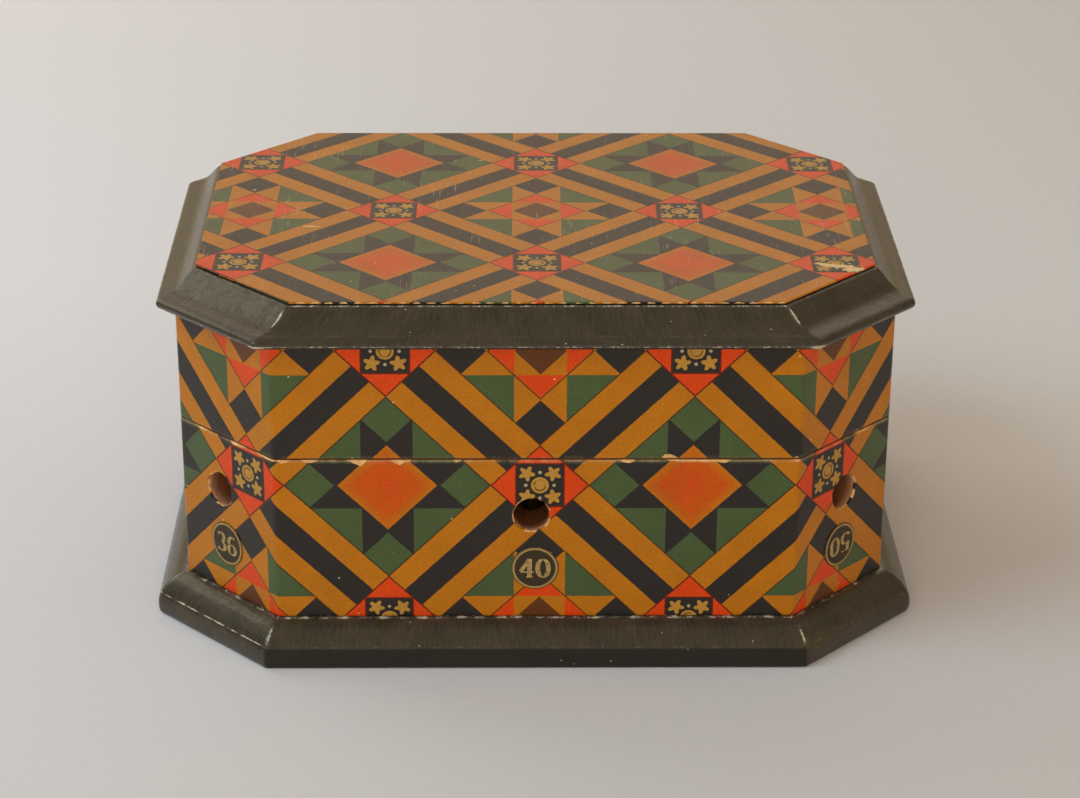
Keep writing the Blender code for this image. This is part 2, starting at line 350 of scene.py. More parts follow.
# For each sheet: where a crossing lies in millimetres, its stretch, and its turn in degrees. The
# saw that parted the lid took about a millimetre of the print with it.
sheets = {
    "base": {"origin": (0.75, 40.35), "stretch": (1.003, 1.005), "turn": 0.0},
    "lid": {"origin": (0.75, 39.3), "stretch": (1.003, 1.005), "turn": 0.0},
    "top": {"origin": (0.85, 31.1), "stretch": (0.995, 0.978), "turn": -0.5},
}


# The pattern's colour as a node group of a place in millimetres, measured from one crossing.
# The place folds into one quarter period: crossings at (0,0) and (1,1), star cells at (1,0), (0,1).
def patternGroup(p=paperPattern):
    tree = bpy.data.node_groups.new("geometricPrint", "ShaderNodeTree")
    tree.interface.new_socket("Place", in_out="INPUT", socket_type="NodeSocketVector")
    tree.interface.new_socket("Colour", in_out="OUTPUT", socket_type="NodeSocketColor")
    g = Graph(tree)
    inlet, outlet = g.nodes.new("NodeGroupInput"), g.nodes.new("NodeGroupOutput")
    place = inlet.outputs["Place"]
    across, up, band = p["across"], p["up"], p["band"]
    slant = across * up / np.hypot(across, up)  # millimetres for one unit across a slanting line
    square = (across + up) / 2
    x, y, _ = g.split(place)
    a = g.math("PINGPONG", g.mul(x, 1 / across), 1.0)
    b = g.math("PINGPONG", g.mul(y, 1 / up), 1.0)
    split = g.away(a, b)

    # bands of three stripes
    colour = g.mix(g.below(split, band * p["stripe"], slant), inks["ochre"], inks["black"])

    # crossings: a red diamond with a flowered black square
    px, py = g.least(a, g.sub(1.0, a)), g.least(b, g.sub(1.0, b))
    fromCrossing, fromSquare = g.add(px, py), g.most(px, py)
    mmX, mmY = g.mul(px, across), g.mul(py, up)
    half = band / 2 - 0.003
    red = g.mix(g.line(fromSquare, half, 0.17, square), inks["red"], inks["redLine"])
    radius = g.length(mmX, mmY)
    leafX, leafY = g.sub(mmX, 2.75), g.sub(mmY, 2.7)
    leafRadius = g.length(leafX, leafY)
    leafAngle = g.math("ARCTAN2", leafY, leafX)
    lobes = g.math("COSINE", g.mul(g.sub(leafAngle, np.pi / 4), 5.0))
    leaf = g.below(g.math("MULTIPLY_ADD", lobes, -0.42, leafRadius), 1.36)
    flower = g.mix(leaf, inks["black"], inks["gold"])
    flower = g.mix(g.below(radius, 1.85), flower, inks["gold"])
    ringInk = g.mul(g.line(radius, 1.2, 0.16), g.span(g.noise(place, 0.35, 2.0), 0.35, 0.55))
    flower = g.mix(g.mul(ringInk, 0.8), flower, inks["darkLine"])
    for dotX, dotY in ((2.95, 0.0), (0.0, 2.95)):
        dot = g.length(g.sub(mmX, dotX), g.sub(mmY, dotY))
        flower = g.mix(g.below(dot, 0.36), flower, inks["pale"])
    red = g.mix(g.below(fromSquare, half - 0.004, square), red, flower)
    colour = g.mix(g.below(fromCrossing, band, slant), colour, red)
    crossingEdge = g.line(fromCrossing, band, 0.16, slant)
    colour = g.mix(crossingEdge, colour, inks["redLine"])

    # star cells: m and n run from the cell's middle towards its two pairs of corners
    inner = 1 - band
    cell = slant * inner
    m = g.mul(g.sub(1.0, g.most(a, b)), 1 / inner)
    n = g.mul(g.least(a, b), 1 / inner)
    middle = g.add(m, n)
    tips = g.least(g.add(g.away(m, 0.75), n), g.add(m, g.away(n, 0.75)))
    wings = g.least(m, n)
    inTip = g.below(tips, 0.236, cell)
    inWing = g.above(wings, 0.25, square * inner)

    tracery = g.mul(g.math("SINE", g.mul(m, 52.0)), g.math("SINE", g.mul(n, 52.0)))
    tracery = g.add(tracery, g.mul(g.math("SINE", g.mul(middle, 61.0)), 0.5))
    patches = g.noise(place, 0.22, 3.0, 0.6)
    tracery = g.span(g.add(tracery, g.mul(g.sub(patches, 0.5), 2.5)), -0.9, 1.1)
    starA = g.mix(g.most(inTip, inWing), inks["black"], inks["green"])
    core = g.span(middle, 0.42, 0.0)
    heart = g.mix(g.mul(g.add(tracery, core), 0.4), inks["orange"], inks["red"])
    heart = g.mix(g.mul(g.above(middle, 0.41, cell, 2.2), 0.85), heart, inks["ochre"])
    starA = g.mix(g.below(middle, 0.48, cell), starA, heart)

    starB = g.mix(inWing, inks["ochre"], inks["green"])
    starB = g.mix(inTip, starB, inks["black"])
    starB = g.mix(g.line(middle, 0.5, 0.14, cell), starB, inks["redLine"])
    heart = g.mix(g.below(g.most(m, n), 0.25, square * inner), inks["red"], inks["ochre"])
    heart = g.mix(g.below(middle, 0.245, cell), heart, inks["brown"])
    starB = g.mix(g.below(middle, 0.485, cell), starB, heart)

    star = g.mix(g.math("GREATER_THAN", a, b), starB, starA)
    colour = g.mix(g.above(split, band, slant), colour, star)
    bandEdge = g.line(split, band + 0.006, 0.13, slant)
    bandEdge = g.mul(bandEdge, g.above(fromCrossing, band, slant))
    colour = g.mix(g.mul(bandEdge, 0.85), colour, inks["darkLine"])
    g.links.new(colour, outlet.inputs["Colour"])
    return tree


# torn streaks and flakes on the lid's top, in millimetres: middle, half length, half width, turn
flakes = [(63.0, -32.3, 4.9, 1.0, -13.0), (67.0, -34.4, 2.6, 1.4, 10.0), (-49.0, -9.3, 1.8, 0.38, -8.0),
          (-62.9, 13.5, 0.5, 0.3, 0.0), (-12.0, 33.0, 0.7, 0.2, 20.0)]


# One inside any flake: an ellipse (u / long)^2 + (v / wide)^2 < 1 in turned axes, torn by noise.
def flakeMask(g, inMm, fray):
    mask = 0.0
    for x, y, halfLong, halfWide, turn in flakes:
        angle = np.radians(-turn)
        turned = Matrix.Rotation(angle, 2) @ Vector((x, y))
        local = g.mapped(inMm, turn=(0, 0, angle), move=(-turned.x, -turned.y, 0))
        u, v, _ = g.split(local)
        bent = g.math("MULTIPLY_ADD", g.mul(u, u), -0.03, v)
        u, v = g.mul(u, 1 / halfLong), g.mul(bent, 1 / halfWide)
        size = g.length(u, v)
        mask = g.most(mask, g.below(g.math("MULTIPLY_ADD", fray, 2.4, size), 2.1, 1.0, 0.2))
    return mask


# Varnished printed paper, its place in metres laid on the pattern by the sheet's own numbers.
# Wear shows the cream paper where the piece's wear mark beats a fine noise; paler ink along the sawn
# edge is rubbed wear, and on the base's upper edge also a painted highlight.
def paperMaterial(name, pattern, useUv, sheet, scratched):
    material, shader, g = newMaterial(name, Roughness=0.33)
    shader.inputs["Specular Tint"].default_value = (0.85, 0.72, 0.48, 1.0)
    place = g.uvPlace() if useUv else g.objectPlace()
    inMm = g.mapped(place, scale=(1000, 1000, 1))
    stretch, angle = sheet["stretch"], np.radians(-sheet["turn"])
    start = Matrix.Rotation(angle, 2) @ Vector([o / k for o, k in zip(sheet["origin"], stretch)])
    laid = g.mapped(inMm, scale=(1 / stretch[0], 1 / stretch[1], 0), turn=(0, 0, angle),
                    move=(-start.x, -start.y, 0))
    wobble = g.nodes.new("ShaderNodeTexNoise")
    wobble.inputs["Scale"].default_value = 1.2
    wobble.inputs["Detail"].default_value = 1.0
    g.links.new(laid, wobble.inputs["Vector"])
    nudge = g.nodes.new("ShaderNodeVectorMath")
    nudge.operation = "MULTIPLY_ADD"
    g.links.new(wobble.outputs["Color"], nudge.inputs[0])
    nudge.inputs[1].default_value = (0.16, 0.16, 0)
    g.links.new(laid, nudge.inputs[2])
    printed = g.nodes.new("ShaderNodeGroup")
    printed.node_tree = pattern
    g.links.new(nudge.outputs[0], printed.inputs["Place"])
    colour = printed.outputs["Colour"]

    # ink: fine mottle, broad ageing, worn specks
    mottle = g.span(g.noise(inMm, 1.6, 4.0, 0.65), 0.3, 0.75)
    colour = g.mix(0.42, colour, g.mix(mottle, (0.55, 0.55, 0.55), (1.25, 1.22, 1.15)), "MULTIPLY")
    ageing = g.span(g.noise(inMm, 0.09, 4.0, 0.62), 0.3, 0.7)
    colour = g.mix(0.46, colour, g.mix(ageing, (0.72, 0.70, 0.66), (1.12, 1.10, 1.06)), "MULTIPLY")
    wearNoise = g.noise(inMm, 1.1, 5.0, 0.6)
    # paler ink along the sawn edge: rubbed wear, and on the base's upper edge also a painted highlight
    rubAndHighlight = g.mul(g.mark("rubAndHighlight"), g.span(g.noise(g.mapped(inMm, scale=(1, 0.2, 1)), 0.6, 4.0, 0.6), 0.3, 0.65))
    colour = g.mix(g.mul(rubAndHighlight, 0.6), colour, srgb(206, 176, 140))
    worn = g.above(g.add(g.mark("wear"), g.mul(g.sub(wearNoise, 0.5), 0.8)), 0.55, 1.0, 0.12)
    cream = g.mix(g.span(g.noise(inMm, 0.8, 4.0), 0.35, 0.65), inks["cream"], srgb(208, 150, 92))
    colour = g.mix(worn, colour, cream)
    if scratched:
        flaked = flakeMask(g, inMm, wearNoise)
        colour = g.mix(flaked, colour, g.mix(wearNoise, srgb(206, 156, 92), srgb(255, 232, 186)))
        worn = g.most(worn, flaked)
    colour = g.mix(g.mul(g.specks(inMm, 0.24, 0.045, 0.3), 0.8), colour, srgb(226, 214, 184))
    if scratched:
        patchy = g.span(g.noise(inMm, 0.045, 2.0), 0.45, 0.68)
        for lean, seed in ((0.06, 0.0), (-0.22, 31.0)):
            turned = g.mapped(inMm, scale=(2.3, 0.11, 1), turn=(0, 0, lean), move=(seed, seed, 0))
            scratch = g.above(g.noise(turned, 1.0, 2.0, 0.45), 0.685, 1.0, 0.035)
            colour = g.mix(g.mul(g.mul(scratch, patchy), 0.44), colour, srgb(206, 190, 150))
    g.links.new(colour, shader.inputs["Base Color"])

    rough = g.span(g.noise(inMm, 0.35, 4.0, 0.6), 0.0, 1.0)
    rough = g.math("MULTIPLY_ADD", rough, 0.16, 0.26)
    rough = g.math("MULTIPLY_ADD", worn, 0.35, rough)
    g.links.new(rough, shader.inputs["Roughness"])
    fibre = g.noise(inMm, 2.4, 4.0, 0.6)
    relief = g.math("MULTIPLY_ADD", worn, -1.2, fibre)
    g.links.new(g.bump(relief, 0.05 * mm, 0.55), shader.inputs["Normal"])
    return material


# ---- the wrapped walls ----

body = octagonOf("base_paper")
basePaperLow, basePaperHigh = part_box("base_paper")
lidPaperLow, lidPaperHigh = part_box("lid_paper")
# The wrap's shape; window is half a bore's block in millimetres, torn how far a bore's rim is
# frayed, and wearReach how far wear fades in.
wrap = {"cornerRadius": 1.7 * mm, "thickness": 0.5 * mm, "rowStep": 1.0 * mm, "window": 6,
        "torn": {"front_left": 0.34, "front": 0.12}, "tornElsewhere": 0.12, "turnIn": 0.14 * mm,
        "turnReach": 0.3 * mm, "chipDepth": 0.10 * mm, "uneven": 0.02 * mm, "sag": 0.10 * mm,
        "wearReach": 0.7 * mm, "rubAndHighlightReach": 0.75 * mm, "rubAndHighlight": {True: 1.0, False: 0.25}}

# places along the seam where the paper is chipped: middle, half width and depth in mm
seamChips = {
    "base": [(-77.6, 1.9, 0.6), (-66.3, 2.4, 0.7), (-56.5, 3.8, 0.5), (-52.7, 0.6, 0.9), (-47.4, 1.3, 0.8),
             (-42.8, 0.5, 0.55), (-37.4, 1.9, 0.8), (-36.8, 0.8, 0.75), (-28.3, 2.1, 0.75),
             (-28.9, 0.6, 0.6), (-16.5, 0.7, 0.75), (18.9, 1.3, 0.85), (33.5, 6.4, 0.6),
             (39.2, 1.0, 0.45), (54.1, 0.9, 0.6), (76.0, 3.0, 0.5), (112.0, 4.0, 0.6),
             (-122.0, 3.5, 0.6), (190.0, 5.0, 0.6)],
    "lid": [(27.5, 1.3, 1.25), (53.9, 0.7, 0.6), (73.0, 1.6, 0.4), (-46.0, 1.2, 0.3), (150.0, 4.0, 0.5)],
}


# how deep the wear reaches from the sawn edge, in metres, for each distance along the wrap
def wearDepth(along, chips, seed):
    alongMm = along / mm
    depth = -0.12 + 0.14 * softNoise(alongMm[:, None], 5.0, seed, 4)
    for middle, half, deep in chips:
        depth += deep * np.exp(-((alongMm - middle) / half) ** 4)
    return depth * mm


def wrapRows(low, high, step):
    fine = np.array([0.0, 0.12, 0.3, 0.6, 1.0]) * mm
    count = int(round((high - low - 2 * fine[-1]) / step))
    return np.concatenate([low + fine[:-1], np.linspace(low + fine[-1], high - fine[-1], count + 1),
                           high - fine[:-1][::-1]])


pattern = patternGroup()
baseWallPaper = paperMaterial("baseWallPaper", pattern, True, sheets["base"], False)
lidWallPaper = paperMaterial("lidWallPaper", pattern, True, sheets["lid"], False)
lidTopPaper = paperMaterial("lidTopPaper", pattern, False, sheets["top"], True)

# the bored sides and where each stands among the octagon's eight
bores = {}
for boreSide, boreTurn in (("front", 0), ("front_right", 1), ("back_right", 3), ("back", 4),
                           ("back_left", 5), ("front_left", 7)):
    angle = sideAngles[boreTurn]
    bores[boreSide] = {"normal": np.array([np.cos(angle), np.sin(angle)]),
                       "tangent": np.array([-np.sin(angle), np.cos(angle)])}


# A bore's middle and radius, from the vertices that the drill left on its wall's outer face.
def measureBore(side, found):
    points = nodePoints("base_wall_" + side)
    outward = points[:, :2] @ found["normal"]
    across = points[:, :2] @ found["tangent"]
    face = outward > outward.max() - 1e-5
    middleHeight = (basePaperLow.z + basePaperHigh.z) / 2
    rim = face & (np.abs(points[:, 2] - middleHeight) < (basePaperHigh.z - basePaperLow.z) / 2 - 3 * mm)
    low, high = across[rim].min(), across[rim].max()
    bottom, top = points[rim, 2].min(), points[rim, 2].max()
    found["across"] = (low + high) / 2
    found["height"] = (bottom + top) / 2
    found["radius"] = (high - low) / 2
    found["outer"], found["inner"] = outward.max(), outward.min()


for boreSide, found in bores.items():
    measureBore(boreSide, found)
print("bores measured:", {k: round(float(v["radius"] / mm), 2) for k, v in bores.items()})


# Paper round the walls: the outline carried up from low to high, with its edges turned in, and a
# round window for each bore. A window swaps a block of the grid for rings that pass from the
# block's edge to the bore's circle: place = (1 - t) * block edge + t * circle.
def wrapPaper(name, node, material, low, high, seamAtTop, chips, seed, bodyName, windows):
    points, directions = outline(body, wrap["cornerRadius"])
    along = alongOutline(points)
    heights = wrapRows(low, high, wrap["rowStep"])
    rows = ringRows(points, heights)
    seam = high if seamAtTop else low
    fromSeam = np.abs(seam - heights)
    depth = wearDepth(along[:-1], chips, seed)
    # edges turn in a little, and chipped stretches lie lower than the printed skin
    lift = softNoise(np.stack([np.repeat(along[None, :-1], len(heights), 0) / mm,
                               np.repeat(heights[:, None], len(points), 1) / mm], -1), 23.0, seed + 1)
    chipped = np.clip((depth[None] - fromSeam[:, None]) / (0.4 * mm), 0, 1)
    edge = np.minimum(heights - low, high - heights)
    turnIn = wrap["turnIn"] * np.clip(1 - edge / wrap["turnReach"], 0, 1) ** 2
    inset = turnIn[:, None] + wrap["chipDepth"] * chipped + wrap["uneven"] * (1 - lift)
    rows[:, :, :2] -= directions[None] * inset[..., None]
    sag = wrap["sag"] * np.clip(softNoise(along[:-1, None] / mm, 2.2, seed + 2), 0, 1)
    rows[:, :, 2] += (-1 if seamAtTop else 1) * np.where(fromSeam < 0.05 * mm, 1, 0)[:, None] * sag

    wear = 0.55 + (depth[None] - fromSeam[:, None]) / wrap["wearReach"]
    if seamAtTop:  # frayed where the paper meets the plinth
        fray = 0.16 * mm * softNoise(along[:-1, None] / mm, 2.2, seed + 3, 4) - 0.2 * mm
        fromPlinth = (heights - basePaperLow.z)[:, None]
        wear = np.maximum(wear, 0.55 + (fray[None] - fromPlinth) / wrap["wearReach"])
    wear = np.clip(wear, -2, 1.6)
    # paler along the sawn edge: rubbed wear, and on the base (strength one) also a painted highlight
    rubAndHighlight = np.clip(1 - fromSeam / wrap["rubAndHighlightReach"], 0, 1)[:, None] * np.ones(len(points))
    rubAndHighlight = rubAndHighlight * wrap["rubAndHighlight"][seamAtTop]
    uv = np.stack(np.broadcast_arrays(along[None], heights[:, None]), -1)
    skip = np.zeros((len(heights) - 1, len(points)), bool)
    extraPoints, extraQuads, extraUv, extraWear = [], [], [], []
    base = rows.shape[0] * rows.shape[1]
    for side, found in windows.items():
        # the wall's stretch of the outline, where along = across + constant
        onWall = (directions @ found["normal"]) > 1 - 1e-9
        across = points @ found["tangent"]
        wallShift = np.median(along[:-1][onWall] - across[onWall])
        wallOut = np.median(points[onWall] @ found["normal"])
        half = wrap["window"] * mm
        insideCol = onWall & (np.abs(across - found["across"]) < half)
        cols = np.flatnonzero(insideCol)
        rowsIn = np.flatnonzero(np.abs(heights - found["height"]) < half)
        c0, c1, r0, r1 = cols[0], cols[-1], rowsIn[0], rowsIn[-1]
        skip[r0:r1, c0:c1] = True
        rim = np.concatenate([
            np.stack([np.full(c1 - c0, r0), np.arange(c0, c1)], -1),
            np.stack([np.arange(r0, r1), np.full(r1 - r0, c1)], -1),
            np.stack([np.full(c1 - c0, r1), np.arange(c1, c0, -1)], -1),
            np.stack([np.arange(r1, r0, -1), np.full(r1 - r0, c0)], -1)])
        rimIndex = rim[:, 0] * len(points) + rim[:, 1]
        rimPlace = np.stack([across[rim[:, 1]], heights[rim[:, 0]]], -1)
        centre = np.array([found["across"], found["height"]])
        angle = np.arctan2(*(rimPlace - centre).T[::-1])
        circle = np.stack([np.cos(angle), np.sin(angle)], -1)
        torn = wrap["torn"].get(side, wrap["tornElsewhere"]) * mm
        fray = torn * softNoise(circle * 3, 2.4, seed + 7, 2)[:, None]
        shares = np.array([0.25, 0.5, 0.72, 0.86, 0.95, 1.0])
        radius = found["radius"] + 0.06 * mm
        rings = []
        for share in shares:
            flat = rimPlace * (1 - share) + (centre + circle * (radius + fray)) * share
            rings.append(np.concatenate([flat, np.full((len(flat), 1), 0.0)], -1))
        for deeper, tighter in ((0.10, 0.10), (0.28, 0.16), (0.55, 0.20)):
            flat = centre + circle * (radius + fray * (1 - deeper) - tighter * mm)
            rings.append(np.concatenate([flat, np.full((len(flat), 1), -deeper * mm)], -1))
        rings = np.array(rings)
        fromRim = np.linalg.norm(rings[..., :2] - centre, axis=-1) - radius
        nearRim = np.clip(1 - fromRim / (1.3 * mm), 0, 1)
        out = wallOut + rings[..., 2] + 0.05 * mm * nearRim * (rings[..., 2] > -0.01 * mm)
        place = (found["normal"] * out[..., None] + found["tangent"] * rings[..., :1])
        place3 = np.concatenate([place, rings[..., 1:2]], -1)
        count = len(rim)
        start = base + sum(len(p) for p in extraPoints)
        ids = np.concatenate([rimIndex[None], start + np.arange(rings.shape[0] * count).reshape(-1, count)])
        nextIds = np.roll(ids, -1, 1)
        quads = np.stack([ids[:-1], nextIds[:-1], nextIds[1:], ids[1:]], -1).reshape(-1, 4)
        ringUv = np.concatenate([np.stack([rimPlace[:, 0], rimPlace[:, 1]], -1)[None], rings[..., :2]])
        ringUv = ringUv + np.array([wallShift, 0])
        nextUv = np.roll(ringUv, -1, 1)
        quadUv = np.stack([ringUv[:-1], nextUv[:-1], nextUv[1:], ringUv[1:]], -2).reshape(-1, 4, 2)
        extraPoints.append(place3.reshape(-1, 3))
        extraQuads.append(quads)
        extraUv.append(quadUv)
        edgeWear = 0.5 + 0.3 * softNoise(circle * 3, 2.6, seed + 9, 2)
        extraWear.append((edgeWear * np.clip(nearRim * 6 - 4.9, -1, 1)).reshape(-1))
    extra = None
    if windows:
        extra = {"points": np.concatenate(extraPoints), "quads": np.concatenate(extraQuads),
                 "uv": np.concatenate(extraUv), "marks": {"wear": np.concatenate(extraWear),
                                                            "rubAndHighlight": np.concatenate(extraWear) * 0}}
    piece = gridMesh(name, rows, material, bodyName, wrap=True, uv=uv, marks={"wear": wear, "rubAndHighlight": rubAndHighlight},
                     skip=skip, extra=extra)
    shell = piece.modifiers.new("thickness", "SOLIDIFY")
    shell.thickness = wrap["thickness"]
    shell.offset = -1.0
    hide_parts(node)


wrapPaper("basePaper", "base_paper", baseWallPaper, basePaperLow.z - 0.25 * mm, basePaperHigh.z, True,
          seamChips["base"], 11, "base", bores)
wrapPaper("lidPaper", "lid_paper", lidWallPaper, lidPaperLow.z, lidPaperHigh.z + 0.25 * mm, False,
          seamChips["lid"], 31, "lid", {})
print("paper wrapped round the walls")


# ---- the paper on the lid ----

topPaper = {"cornerRadius": 1.0 * mm, "rings": 26, "fray": 0.10 * mm}


# A flat sheet from its edge to its middle: rings of the outline shrunk by shares that grow as the
# 0.8th power of an even count, the edge's place moved by a fray noise.
def lidTopSheet(t=topPaper):
    field = octagonOf("top_paper")
    low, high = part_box("top_paper")
    points, directions = outline(field, t["cornerRadius"])
    along = alongOutline(points)[:-1]
    fray = t["fray"] * softNoise(along[:, None] / mm, 3.1, 5, 4)
    edge = points + directions * np.minimum(fray, 0)[:, None]
    shares = np.linspace(0, 1, t["rings"]) ** 0.8
    rows = [ringRow(edge - directions * inset * mm, height)
            for inset, height in ((0.1, low.z), (0.0, low.z + 0.03 * mm), (0.06, (low.z + high.z) / 2),
                                  (0.16, high.z - 0.1 * mm), (0.3, high.z - 0.02 * mm))]
    skirt = len(rows)
    inner = edge - directions * 0.6 * mm
    for share in shares[:-1]:
        rows.append(ringRow(inner * (1 - share), high.z))
    rows = np.array(rows)
    wave = softNoise(rows[..., :2] / mm, 34.0, 8)
    rows[skirt:, :, 2] -= 0.012 * mm * np.clip(1 - wave[skirt:], 0, 2)
    # the edge is worn to a depth that changes along it, deepest towards the front's two ends
    front = np.clip(-directions[:, 1] - 0.9, 0, 0.1) * 10
    ends = np.abs(points[:, 0]) / np.abs(points[:, 0]).max()
    depth = 0.08 * front - 0.08 + 0.16 * front * ends \
        + (0.06 + 0.2 * front) * softNoise(along[:, None] / mm, 3.0, 21, 4)
    inwards = np.linalg.norm(rows[..., :2] - edge[None], axis=-1) / mm
    wear = np.clip(0.55 + (depth[None] - inwards) / 0.7, -2, 1.2)
    piece = gridMesh("lidTopPaper", rows, lidTopPaper, "lid", wrap=True, caps=True,
                     marks={"wear": wear, "rubAndHighlight": np.zeros_like(wear)})
    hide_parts("top_paper")


lidTopSheet()
print("top paper laid")


# ---- the black mouldings ----

def blackWoodMaterial():
    material, shader, g = newMaterial("blackWood", Roughness=0.3)
    shader.inputs["Specular Tint"].default_value = (1.0, 0.95, 0.82, 1.0)
    inMm = g.uvMm()
    crossGrain = g.noise(g.mapped(inMm, scale=(2.6, 0.25, 1)), 1.0, 4.0, 0.6)
    broad = g.noise(inMm, 0.12, 3.0, 0.55)
    tone = g.math("MULTIPLY_ADD", crossGrain, 0.7, g.mul(broad, 0.6))
    colour = g.mix(g.span(tone, 0.35, 0.95), srgb(32, 27, 23), srgb(78, 68, 57))
    # painted shade: the dark mark darkens the front sides' lower part towards black
    colour = g.mix(g.mul(g.mark("dark"), 0.78), colour, srgb(9, 10, 12))
    speck = g.specks(inMm, 0.38, 0.055, 0.28)
    edgeNoise = g.noise(inMm, 1.3, 4.0, 0.65)
    # the wear mark holds real wear and painted highlights; both are painted paler here, grey where rubbed
    # and bare-wood pale where worn through
    worn = g.above(g.add(g.mark("wear"), g.sub(edgeNoise, 0.5)), 0.62, 1.0, 0.16)
    rubbedAndHighlit = g.span(g.add(g.mark("wear"), g.mul(g.sub(edgeNoise, 0.5), 1.5)), 0.2, 0.8)
    colour = g.mix(g.mul(rubbedAndHighlit, 0.4), colour, srgb(150, 143, 128))
    bareWoodAndGlint = g.mix(edgeNoise, srgb(140, 122, 98), srgb(226, 212, 186))
    colour = g.mix(g.most(worn, speck), colour, bareWoodAndGlint)
    g.links.new(colour, shader.inputs["Base Color"])
    rough = g.math("MULTIPLY_ADD", g.noise(inMm, 0.8, 4.0, 0.6), 0.2, 0.12)
    rough = g.math("MULTIPLY_ADD", g.mark("dark"), 0.3, rough)
    g.links.new(g.math("MULTIPLY_ADD", worn, 0.3, rough), shader.inputs["Roughness"])
    brushed = g.noise(g.mapped(inMm, scale=(0.35, 0.9, 1)), 1.0, 3.0, 0.6)
    fine = g.bump(g.math("MULTIPLY_ADD", worn, -1.0, crossGrain), 0.05 * mm, 0.45)
    g.links.new(g.bump(brushed, 0.22 * mm, 0.4, fine), shader.inputs["Normal"])
    return material


blackWood = blackWoodMaterial()


# A smooth profile through a few (out, height) points: each stretch is the Catmull-Rom cubic
# (2 p1 + (p2 - p0) t + (2 p0 - 5 p1 + 4 p2 - p3) t^2 + (3 p1 - p0 - 3 p2 + p3) t^3) / 2.
def smoothProfile(points, steps=5):
    points = np.array(points, float)
    p = np.concatenate([points[:1], points, points[-1:]])
    t = (np.arange(steps) / steps)[:, None, None]
    p0, p1, p2, p3 = p[:-3], p[1:-2], p[2:-1], p[3:]
    curve = (2 * p1 + (p2 - p0) * t + (2 * p0 - 5 * p1 + 4 * p2 - p3) * t ** 2
             + (3 * p1 - p0 - 3 * p2 + p3) * t ** 3) / 2
    return np.concatenate([curve.transpose(1, 0, 2).reshape(-1, 2), points[-1:]])


# A moulding's profile as (share, height) pairs, its heights raised to start from low.
def profileOf(moulding, low):
    curve = smoothProfile(moulding["profile"])
    return np.stack([np.minimum(curve[:, 0], 1.0), low + np.maximum(curve[:, 1], 0) * mm], -1).tolist()


# A board with a moulded edge: a profile of (share, height) carried round the octagon, where share
# blends from the inner outline to the node's own outline.
def mouldedBoard(name, node, bodyName, innerOctagon, moulding):
    outerOctagon = octagonOf(node)
    profile = profileOf(moulding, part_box(node)[0].z)
    seed = moulding["seed"]
    span = outerOctagon[0] - innerOctagon[0]  # the front side's
    rows, arc = [], [0.0]
    for index, (share, height) in enumerate(profile):
        octagon = innerOctagon + (outerOctagon - innerOctagon) * share
        radius = max(0.35 * mm, moulding["cornerRadius"] * (0.55 + 0.45 * share))
        points, directions = outline(octagon, radius)
        rows.append(ringRow(points, height))
        if index:
            step = np.hypot((share - profile[index - 1][0]) * span, height - profile[index - 1][1])
            arc.append(arc[-1] + step)
    rows, arc = np.array(rows), np.array(arc)
    along = alongOutline(points)
    flat = np.stack(np.broadcast_arrays(along[None, :-1], arc[:, None]), -1)
    dents = softNoise(flat / mm, 7.0, seed, 4)
    fine = softNoise(flat / mm * np.array([1.0, 0.3]), 1.6, seed + 1, 2)
    rows[:, :, :2] += directions[None] * (0.03 * mm * (dents - 1.3) + 0.006 * mm * fine)[..., None]
    wear = np.zeros(rows.shape[:2])
    heights = np.array([height for _, height in profile])[:, None]
    facing = np.arctan2(directions[:, 1], directions[:, 0])
    patchy = 0.78 + 0.22 * softNoise(along[:-1, None] / mm, 9.0, seed + 5, 2)
    patchy = (patchy + 0.24 * softNoise(along[:-1, None] / mm, 1.3, seed + 6, 2))[None]
    # pale arrises: real wear, and partly painted highlights where they catch the light
    for height, reach, sides in moulding["worn"]:
        near = np.exp(-((heights - height) / reach) ** 2)
        amount = np.interp(facing, sideAngles, sides, period=2 * np.pi)
        wear = np.maximum(wear, near * amount * patchy)
    # painted highlights on the mitres, put into the wear mark so they are painted pale like worn wood
    for corner, low, high, reach, amount in moulding["glints"]:
        start, end = cornersOf(innerOctagon)[corner], cornersOf(outerOctagon)[corner]
        mitre = (end - start) / np.linalg.norm(end - start)
        offset = rows[..., :2] - start
        away = np.abs(offset[..., 0] * mitre[1] - offset[..., 1] * mitre[0]) + (offset @ mitre < -reach)
        inside = np.clip(1.5 - np.abs(heights - (low + high) / 2) / (high - low) * 2, 0, 1)
        wear = np.maximum(wear, amount * inside * np.exp(-(away / reach) ** 2))
    # painted shade: the front-facing sides are painted darker below the dark height, under the lid's nose
    # and on the plinth's lower face
    ahead = np.clip((-directions[:, 1] - 0.8) * 6, 0, 1)[None]
    paintedFrontShade = ahead * np.clip((moulding["dark"] - heights) / (0.35 * mm) + 0.5, 0, 1)
    uv = np.stack(np.broadcast_arrays(along[None], arc[:, None]), -1)
    piece = gridMesh(name, rows, blackWood, bodyName, wrap=True, caps=True, uv=uv,
                     marks={"wear": wear, "dark": paintedFrontShade}, planCaps=True)
    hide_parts(node)


lidLow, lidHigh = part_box("lid_board")
plinthLow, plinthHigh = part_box("base_board")
